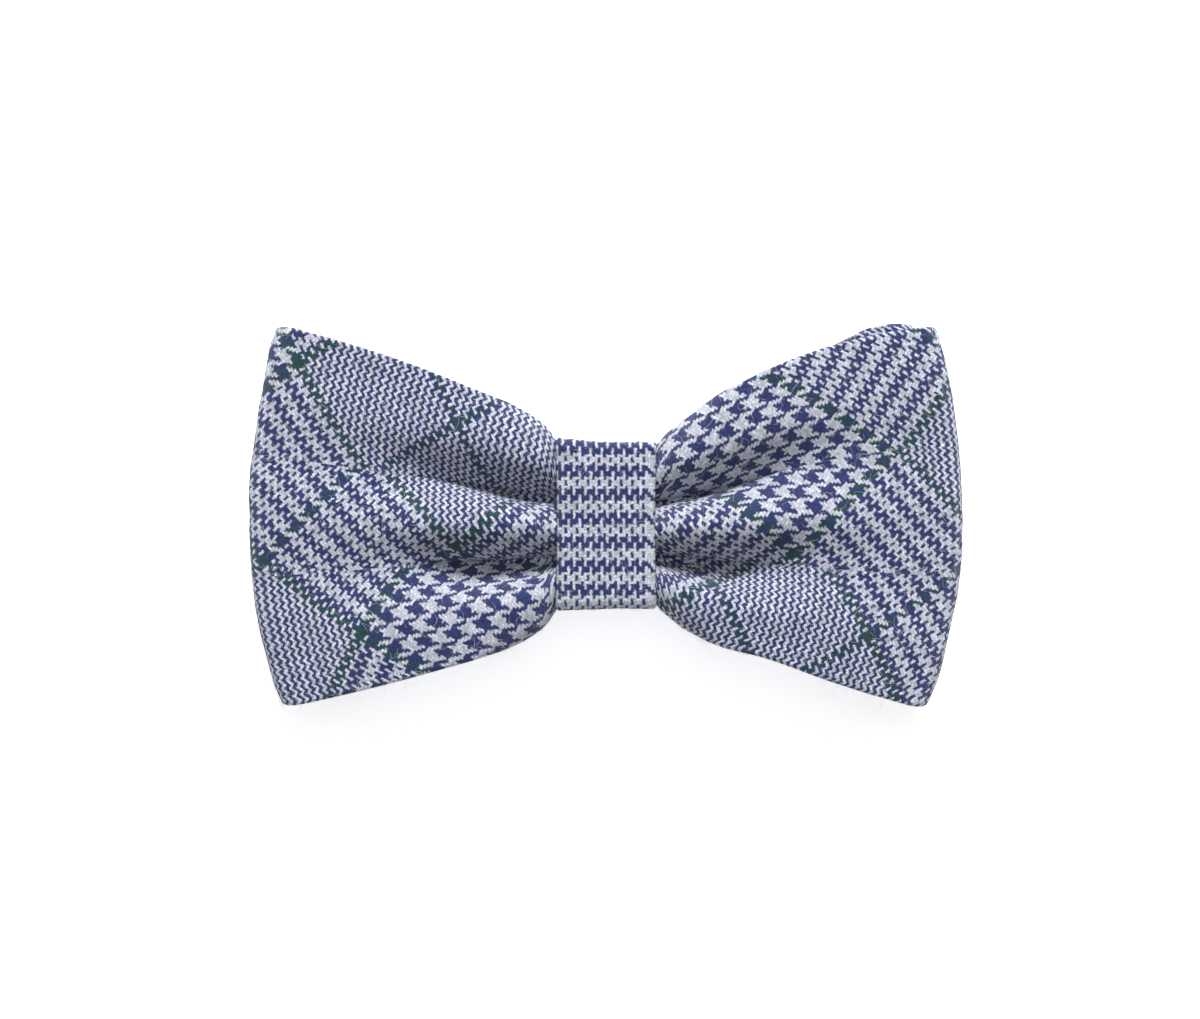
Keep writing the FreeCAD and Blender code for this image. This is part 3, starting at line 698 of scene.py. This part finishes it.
def thread_material(name, dark, pale, twist):
    """Twisted sewing thread: fine slanting plies, a soft gloss and loose fibres."""
    material, tree, shader = new_material(name)
    place = object_place(tree)
    wave = tree.nodes.new("ShaderNodeTexWave")
    wave.bands_direction = "DIAGONAL"
    set_inputs(wave, {"Scale": twist, "Distortion": 1.5, "Detail": 2.0})
    tree.links.new(place, wave.inputs["Vector"])
    fibre = noise_node(tree, place, 6000.0, 4.0, 0.7)
    strength = math_node(tree, "MULTIPLY_ADD", fibre, 0.8, 0.5)
    share = math_node(tree, "MULTIPLY", wave.outputs["Fac"], strength)
    tree.links.new(mix_colour(tree, share, dark, pale), shader.inputs["Base Color"])
    tree.links.new(math_node(tree, "MULTIPLY_ADD", fibre, 0.25, 0.45), shader.inputs["Roughness"])
    shader.inputs["Sheen Weight"].default_value = 0.3
    height = math_node(tree, "ADD", wave.outputs["Fac"], fibre)
    bump(tree, shader, height, strength=0.7, distance=0.00006)
    return material


def canvas_material(name):
    """Stiff undyed interlining: an open plain weave with slubs."""
    material, tree, shader = new_material(name)
    place = object_place(tree)
    parts = tree.nodes.new("ShaderNodeSeparateXYZ")
    tree.links.new(place, parts.inputs[0])
    threads_per_metre = 2200.0
    turns = 2 * math.pi * threads_per_metre
    lengthwise = math_node(tree, "SINE", math_node(tree, "MULTIPLY", parts.outputs["X"], turns))
    crosswise = math_node(tree, "SINE", math_node(tree, "MULTIPLY", parts.outputs["Y"], turns))
    weave = math_node(tree, "MULTIPLY_ADD", math_node(tree, "MULTIPLY", lengthwise, crosswise), 0.5, 0.5)
    slub = noise_node(tree, place, 900.0, 4.0, 0.6)
    share = math_node(tree, "MULTIPLY_ADD", weave, 0.5, math_node(tree, "MULTIPLY", slub, 0.5))
    tree.links.new(mix_colour(tree, share, (0.5, 0.47, 0.4), (0.82, 0.8, 0.74)), shader.inputs["Base Color"])
    tree.links.new(math_node(tree, "MULTIPLY_ADD", slub, 0.2, 0.72), shader.inputs["Roughness"])
    bump(tree, shader, weave, strength=0.8, distance=0.0001)
    return material


def metal_material(name, pale, dark, base_rough, grain_way):
    """Worn metal: drawn scratches one way, and faint stains that are also a little duller."""
    material, tree, shader = new_material(name)
    place = object_place(tree)
    stretch = tree.nodes.new("ShaderNodeMapping")
    stretch.inputs["Scale"].default_value = grain_way
    tree.links.new(place, stretch.inputs["Vector"])
    scratches = noise_node(tree, stretch.outputs["Vector"], 700.0, 5.0, 0.7)
    stains = noise_node(tree, place, 320.0, 3.0, 0.5)
    share = ramp(tree, stains, 0.35, 0.7)
    tree.links.new(mix_colour(tree, share, pale, dark), shader.inputs["Base Color"])
    shader.inputs["Metallic"].default_value = 1.0
    gloss = math_node(tree, "MULTIPLY_ADD", stains, 0.12, base_rough)
    rough = math_node(tree, "ADD", gloss, math_node(tree, "MULTIPLY", scratches, 0.14))
    tree.links.new(rough, shader.inputs["Roughness"])
    height = math_node(tree, "ADD", scratches, math_node(tree, "MULTIPLY", stains, 0.5))
    bump(tree, shader, height, strength=0.25, distance=0.00004)
    return material


def floor_material():
    """White paper that glows a little, so that it stays white in the picture."""
    material, tree, shader = new_material("white_floor")
    grain = noise_node(tree, object_place(tree), 300.0, 3.0, 0.5)
    paper = mix_colour(tree, grain, (0.9, 0.9, 0.9), (0.94, 0.94, 0.94))
    tree.links.new(paper, shader.inputs["Base Color"])
    tree.links.new(math_node(tree, "MULTIPLY_ADD", grain, 0.1, 0.85), shader.inputs["Roughness"])
    set_inputs(shader, {"Specular IOR Level": 0.1, "Emission Strength": 0.62})
    set_inputs(shader, {"Emission Color": (1.0, 1.0, 1.0, 1.0)})

    # Clear from below, so that the clip can be seen in a view from behind.
    side = tree.nodes.new("ShaderNodeNewGeometry")
    clear = tree.nodes.new("ShaderNodeBsdfTransparent")
    either = tree.nodes.new("ShaderNodeMixShader")
    tree.links.new(side.outputs["Backfacing"], either.inputs[0])
    tree.links.new(shader.outputs[0], either.inputs[1])
    tree.links.new(clear.outputs[0], either.inputs[2])
    tree.links.new(either.outputs[0], tree.nodes["Material Output"].inputs["Surface"])
    return material


WARP_COARSE_HALF = 32.0  # threads from the middle of the coarse section to its end
WEFT_COARSE_HALF = 49.0
GREEN_HALF = 1.6         # half the width of a green overcheck line, in threads
check_cloth = check_material(
    "glen_check_wool",
    (WARP_HALF_REPEAT, WARP_COARSE_HALF, GREEN_HALF),
    (WEFT_HALF_REPEAT, WEFT_COARSE_HALF, GREEN_HALF),
)

# The knot is cut along the grain, with a coarse light bar of the warp along its right-hand edge.
NO_GREEN = -1.0          # leaves out the green line in the coarse section
KNOT_BAR_THREAD = 48     # the warp thread where the light bar at its right-hand edge starts
KNOT_BAR_START = 6.45    # how far right of the middle that bar starts
KNOT_LIGHT_ROW = -1.0    # the height of one light row
KNOT_WEFT_PITCH = 0.497
KNOT_WEFT_COARSE_HALF = 60.0
knot_check = check_material(
    "glen_check_straight",
    (WARP_HALF_REPEAT, WARP_HALF_REPEAT - KNOT_BAR_THREAD + 0.5, NO_GREEN),
    (WEFT_HALF_REPEAT, KNOT_WEFT_COARSE_HALF, NO_GREEN),
)
canvas = canvas_material("interlining_canvas")
navy_thread = thread_material("navy_thread", (0.008, 0.01, 0.035), (0.05, 0.06, 0.16), 2600.0)
nickel = metal_material("nickel_plate", (0.80, 0.78, 0.74), (0.71, 0.69, 0.65), 0.12, (1.0, 14.0, 4.0))
drawn_steel = metal_material("drawn_steel", (0.60, 0.60, 0.61), (0.34, 0.33, 0.33), 0.2, (12.0, 1.0, 12.0))
spring_wire = metal_material("spring_wire", (0.48, 0.49, 0.51), (0.24, 0.24, 0.26), 0.24, (6.0, 1.0, 6.0))


# ---- the two loops

CANVAS_HALF = 0.18       # half the thickness of a loop's interlining


def build_loop(name, lining_name, loop, seed, thread_shift):
    """One loop: two folded wings, each one wall of cloth with its canvas inside the wall."""
    cloth, lining, faces = Shell(name), Shell(lining_name), []
    for number, wing in enumerate(WINGS.values()):
        side = wing["side"]
        grid, across, fold_row = wing_grid(wing, loop)
        grid = soften(grid, rounds=3)
        grid[..., 0] *= side
        tip = FRONT_TIP if loop is FRONT_LOOP else REAR_TIP
        along = run_along(grid, fold_row, tip)
        warp, weft = bias_threads(along, across, side, thread_shift)
        offset = ripple(grid, seed + 7.3 * number, height=0.28, length=9.0)
        offset = offset + ripple(grid, seed + 3.1, height=0.1, length=3.5)
        face = add_walled_sheet(cloth, grid, warp, weft, WALL_HALF, side < 0, offset)
        faces.append(tuple(part[: fold_row + FOLD_ROWS] for part in face))
        inner = (slice(1, -1, 2), slice(3, -3))
        add_walled_sheet(lining, grid[inner], warp[inner], weft[inner], CANVAS_HALF, side < 0, offset[inner])
    return cloth.build(check_cloth), lining.build(canvas), faces


front_cloth, front_canvas, front_faces = build_loop(
    "front_loop", "front_loop_canvas", FRONT_LOOP, seed=4.0, thread_shift=0.0,
)
rear_cloth, rear_canvas, rear_faces = build_loop(
    "rear_loop", "rear_loop_canvas", REAR_LOOP, seed=21.0, thread_shift=8.0,
)
for cloth_piece, canvas_piece, word in (
    (front_cloth, front_canvas, "front"),
    (rear_cloth, rear_canvas, "rear"),
):
    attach(cloth_piece, "bow")
    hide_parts(f"{word}_loop_cloth")
    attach(canvas_piece, "bow")
    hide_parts(f"{word}_loop_interlining")


# ---- the knot

KNOT_CORNER = 1.3        # radius of the knot's folds, half-way through its cloth
LAP_STEP = 0.45          # how far the knot's under end lies in front of its lapped end
CORNER_STEPS = 12
KNOT_WALL_HALF = 0.5     # half the thickness of the knot's cloth
KNOT_COLUMNS = 33
KNOT_ROWS = 181
KNOT_DIP = 0.5           # how far the knot's upper edge sags in the middle
KNOT_TILT = -0.35        # how far that edge rises towards the right
KNOT_PINCH = 0.25        # how far its two sides curve in at half height
KNOT_INSET = 0.15        # how far its sides lie inside the CAD's
KNOT_CROWN = 0.22        # how far its side edges drop below its face
LIGHT_BARS_ON = 11       # pairs of coarse bars from the weft's thread 0 to the knot's light row


def knot_ring(share, half_height, low, high, radius):
    """A rounded rectangle in the YZ plane, counted from the under end of the lap at its back."""
    corners = [
        (-half_height + radius, low + radius, -90.0, -180.0),
        (-half_height + radius, high - radius, 180.0, 90.0),
        (half_height - radius, high - radius, 90.0, 0.0),
        (half_height - radius, low + radius, 0.0, -90.0),
    ]
    line = [(1.5, low + LAP_STEP), (0.1, low + LAP_STEP), (-1.0, low)]
    for centre_y, centre_z, start, end in corners:
        for step in range(CORNER_STEPS + 1):
            angle = math.radians(start + (end - start) * step / CORNER_STEPS)
            line.append((centre_y + radius * math.cos(angle), centre_z + radius * math.sin(angle)))
    line.append((0.0, low))
    line = np.array(line)
    steps = np.linalg.norm(np.diff(line, axis=0), axis=1)
    run = np.concatenate([[0.0], np.cumsum(steps)])
    wanted = share * run[-1]
    places = np.stack([np.interp(wanted, run, line[:, axis]) for axis in (0, 1)], axis=1)
    return places, wanted


def build_knot():
    """The knot: a band of cloth pressed round the waist, its edges turned in, straight grain."""
    shell = Shell("knot")
    share = np.linspace(0.0, 1.0, KNOT_ROWS)
    wall = KNOT_WALL_HALF
    ring, run = knot_ring(share, KNOT_HALF_HEIGHT - wall, KNOT_BACK + wall, KNOT_TOP - wall, KNOT_CORNER)
    facing = slice(KNOT_ROWS // 3, 2 * (KNOT_ROWS // 3))
    at_front = run - np.interp(0.0, ring[facing, 0], run[facing])
    grid = np.zeros((KNOT_ROWS, KNOT_COLUMNS, 3))
    for column in range(KNOT_COLUMNS):
        across = -1.0 + 2.0 * column / (KNOT_COLUMNS - 1)
        x = across * (KNOT_HALF_WIDTH - KNOT_INSET)
        dip = KNOT_DIP * (1 - across**2) ** 2
        tilt = KNOT_TILT * across
        y = ring[:, 0]
        stretch = np.where(y > 0, -dip + tilt, 0.25 * dip - 0.5 * tilt)
        near_edge = smoothstep(0.55, 1.0, abs(y) / KNOT_HALF_HEIGHT)
        bow_in = KNOT_PINCH * np.cos(np.clip(y / KNOT_HALF_HEIGHT, -1, 1) * math.pi / 2)
        grid[:, column, 0] = x - np.sign(across) * bow_in * abs(across) ** 3
        grid[:, column, 1] = y + stretch * near_edge * 0.8
        crown = KNOT_CROWN * abs(across) ** 6
        grid[:, column, 2] = ring[:, 1] - np.where(ring[:, 1] > 10.0, crown, -crown)
    across_run = (grid[:1, :, 0] - KNOT_BAR_START) / WARP_PITCH + KNOT_BAR_THREAD
    warp = np.repeat(across_run, KNOT_ROWS, axis=0)
    light_row = LIGHT_BARS_ON * 2 * COARSE_THREADS + COARSE_THREADS / 2
    weft_run = (at_front[:, None] - KNOT_LIGHT_ROW) / KNOT_WEFT_PITCH + light_row
    weft = np.repeat(weft_run, KNOT_COLUMNS, axis=1)
    offset = ripple(grid, 61.0, height=0.12, length=6.0)
    face = add_walled_sheet(shell, grid, warp, weft, wall, False, offset)
    return shell.build(knot_check), face


knot, knot_face = build_knot()
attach(knot, "bow")
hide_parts("knot_cloth")


def tube_faces(rows, sides):
    """Faces of a tube whose points run round it and then along it, closed at both ends."""
    faces = []
    for row in range(rows - 1):
        for step in range(sides):
            following = (step + 1) % sides
            a, b = row * sides + step, row * sides + following
            faces.append((a, b, b + sides, a + sides))
    faces.append(tuple(range(sides))[::-1])
    faces.append(tuple(range((rows - 1) * sides, rows * sides)))
    return faces


def tube(name, path, radius, material, sides=12):
    """A round wire along a list of points in metres, closed at both ends."""
    path = np.asarray(path, dtype=float)
    ways = np.gradient(path, axis=0)
    ways /= np.linalg.norm(ways, axis=1, keepdims=True)
    normal = np.cross(ways[0], (0.3, 0.9, 0.2))
    points = []
    for centre, way in zip(path, ways):
        normal -= way * np.dot(normal, way)
        normal /= np.linalg.norm(normal)
        side = np.cross(way, normal)
        for step in range(sides):
            angle = 2 * math.pi * step / sides
            points.append(centre + radius * (normal * math.cos(angle) + side * math.sin(angle)))
    return add_mesh(name, points, tube_faces(len(path), sides), material)


# ---- loose wool fibres

def fibre_material(name, dark, pale):
    """Single wool fibres, uneven in colour."""
    material, tree, shader = new_material(name)
    speck = noise_node(tree, object_place(tree), 900.0, 3.0, 0.6)
    tree.links.new(mix_colour(tree, speck, dark, pale), shader.inputs["Base Color"])
    tree.links.new(math_node(tree, "MULTIPLY_ADD", speck, 0.2, 0.55), shader.inputs["Roughness"])
    shader.inputs["Sheen Weight"].default_value = 0.4
    return material


def add_fibres(name, faces, count, material, seed):
    """Short curved fibres that stand a little off the cloth, each a thin closed tube."""
    draw = np.random.RandomState(seed)
    steps, sides = 7, 3
    faces_of_one = tube_faces(steps, sides)
    shell = Shell(name)
    for _ in range(count):
        points, normals = faces[draw.randint(len(faces))]
        row = draw.randint(6, points.shape[0] - 2)
        column = draw.randint(2, points.shape[1] - 2)
        start, up = points[row, column], normals[row, column]
        way = np.cross(up, draw.normal(size=3))
        way /= np.linalg.norm(way)
        aside = np.cross(up, way)
        length = draw.uniform(0.9, 3.2)
        lift = draw.uniform(0.08, 0.38)
        curl = draw.uniform(-0.5, 0.5)
        thin = draw.uniform(0.016, 0.028)
        t = np.linspace(0.0, 1.0, steps)[:, None]
        line = start + way * length * t + up * lift * 4 * t * (1 - t) - up * 0.1
        line = line + aside * curl * length * np.sin(math.pi * t)
        taper = thin * (0.25 + 0.75 * np.sin(math.pi * np.clip(t, 0.05, 0.95)))
        ring = []
        for side_number in range(sides):
            angle = 2 * math.pi * side_number / sides
            ring.append(line + taper * (aside * math.cos(angle) + up * math.sin(angle)))
        tube_points = np.stack(ring, axis=1).reshape(-1, 3)
        shell.add(tube_points, faces_of_one, None)
    item = shell.build(material)
    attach(item, "bow")


def add_stray_loop(face, row, column):
    """One long fibre that has worked loose beside the knot and lies in small curls."""
    points, normals = face
    start, up = points[row, column], normals[row, column]
    turn = np.linspace(0.0, 1.0, 60)[:, None]
    curls = 2.4
    swing = 2 * math.pi * curls * turn
    line = start + up * (0.5 + 0.3 * np.sin(swing)) + np.array([3.4, 0.1, 0.0]) * (turn - 0.5)
    line = line + np.concatenate([0.75 * np.cos(swing), 0.6 * np.sin(swing), 0 * swing], axis=1)
    item = tube("stray_fibre", to_frame(line), 0.022 * MM, white_fibre, 5)
    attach(item, "bow")


white_fibre = fibre_material("white_fibre", (0.55, 0.57, 0.66), (0.9, 0.9, 0.92))
blue_fibre = fibre_material("blue_fibre", (0.03, 0.05, 0.2), (0.16, 0.22, 0.5))
add_fibres("loose_white_fibres", front_faces, 2200, white_fibre, seed=11)
add_fibres("loose_blue_fibres", front_faces, 700, blue_fibre, seed=12)
add_fibres("rear_loose_fibres", rear_faces, 400, white_fibre, seed=13)
add_fibres("knot_loose_fibres", [knot_face], 320, white_fibre, seed=14)
add_stray_loop(front_faces[0], row=16, column=30)


# ---- clip hardware

WIRE_RADIUS = 0.25 * MM
SPRING_TURNS = 5.0       # full turns; half a turn more leads to the second leg
SHARED_ARC = 0.1         # turns that lie in both pieces of a spring
WINDING_POINTS = 150
LEG_POINTS = 8


def build_spring(side_name, side):
    """A torsion spring as it is really wound: a close helix round the pin with two legs.

    The leg that presses the jaw turns with it about the pin, so the helix is in two pieces which
    share a short arc.
    """
    low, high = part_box(f"{side_name}_jaw_spring")
    pin_low, pin_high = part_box(f"{side_name}_jaw_pin")
    centre = [(a + b) / 2 for a, b in zip(pin_low, pin_high)]
    wire = WIRE_RADIUS
    coil = (high[0] - centre[0] if side > 0 else centre[0] - low[0]) - wire - 0.1 * MM
    length = (high[1] - low[1]) - 2.2 * wire
    leg = abs((low[0] if side > 0 else high[0]) - centre[0]) - wire
    top_level = high[2] - centre[2] - wire
    low_level = low[2] - centre[2] + wire

    def winding(first, last):
        """The helix between two counts of turns."""
        share = np.linspace(first, last, WINDING_POINTS) / (SPRING_TURNS + 0.5)
        turn = 2 * math.pi * (SPRING_TURNS + 0.5) * share
        return np.stack([side * coil * np.sin(turn), length * (share - 0.5), coil * np.cos(turn)], axis=1)

    def straight(level, y, coil_level):
        """A leg, from the helix outwards."""
        share = np.arange(1, LEG_POINTS + 1)[:, None] / LEG_POINTS
        return np.array([0.0, y, coil_level]) + share * np.array([-side * leg, 0.0, level - coil_level])

    upper_leg = straight(top_level, -length / 2, coil)[::-1]
    lower_leg = straight(low_level, length / 2, -coil)
    fixed_path = np.concatenate([upper_leg, winding(0.0, SPRING_TURNS + SHARED_ARC)])
    moving_path = np.concatenate([winding(SPRING_TURNS, SPRING_TURNS + 0.5), lower_leg])
    parts = (
        (f"{side_name}_spring", "bow", fixed_path),
        (f"{side_name}_spring_leg", f"{side_name}_jaw", moving_path),
    )
    for name, body, path in parts:
        spring = tube(name, path + np.array(centre), wire, spring_wire)
        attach(spring, body)
        if body == "bow":
            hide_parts(f"{side_name}_jaw_spring")


for side_name, side in (("left", -1.0), ("right", 1.0)):
    build_spring(side_name, side)


def dress(node, material):
    """Gives a carried-over CAD node its material."""
    item = bpy.data.objects[node]
    item.data.materials.clear()
    item.data.materials.append(material)


for node in ("clip_base_strip", "left_clip_jaw", "right_clip_jaw"):
    dress(node, nickel)
for node in ("left_jaw_pin", "right_jaw_pin"):
    dress(node, drawn_steel)
for node in ("waist_binding_thread", "knot_closing_stitches"):
    dress(node, navy_thread)
dress("knot_interlining", canvas)


# ---- floor, light and camera

FLOOR_DROP = 0.0002      # how far the floor lies below z = 0, so that the bow's back stays clear of it


def add_floor():
    """A plain white floor."""
    half = 1.5
    corners = [(-half, -half, 0), (half, -half, 0), (half, half, 0), (-half, half, 0)]
    item = add_mesh("floor", corners, [(0, 1, 2, 3)], floor_material())
    item.location.z = -FLOOR_DROP


def add_light(name, place, target, size, power):
    """A soft box of size (width, height) in metres that looks from place to target."""
    lamp = bpy.data.lights.new(name, "AREA")
    lamp.shape = "RECTANGLE"
    lamp.size, lamp.size_y = size
    lamp.energy = power
    item = bpy.data.objects.new(name, lamp)
    item.location = place
    way = Vector(target) - Vector(place)
    item.rotation_euler = way.to_track_quat("-Z", "Y").to_euler()
    bpy.context.scene.collection.objects.link(item)


def add_camera():
    """Straight down on to the bow from about 0.57 m, as a product photograph of a flat lay."""
    distance = 0.57
    frame_width = 0.204      # how much the picture shows of the bow's level, from side to side
    lens = bpy.data.cameras.new("camera")
    lens.sensor_width = 36.0
    lens.lens = lens.sensor_width * distance / frame_width
    lens.clip_start = 0.01
    item = bpy.data.objects.new("camera", lens)
    aside, up = -0.0010, 0.0012
    item.location = (aside, up, distance + KNOT_TOP * MM / 2)
    bpy.context.scene.collection.objects.link(item)
    bpy.context.scene.camera = item


add_floor()
add_light("key", place=(0.05, 0.80, 0.58), target=(0, 0, 0), size=(0.5, 0.3), power=13.5)
add_light("overhead", place=(0.0, 0.1, 1.1), target=(0, 0, 0), size=(0.6, 0.6), power=2.6)
add_camera()

world = bpy.data.worlds.new("studio")
world.use_nodes = True
background = world.node_tree.nodes["Background"]
background.inputs["Color"].default_value = (1.0, 1.0, 1.0, 1.0)
background.inputs["Strength"].default_value = 0.25
bpy.context.scene.world = world
bpy.context.scene.view_settings.view_transform = "Standard"
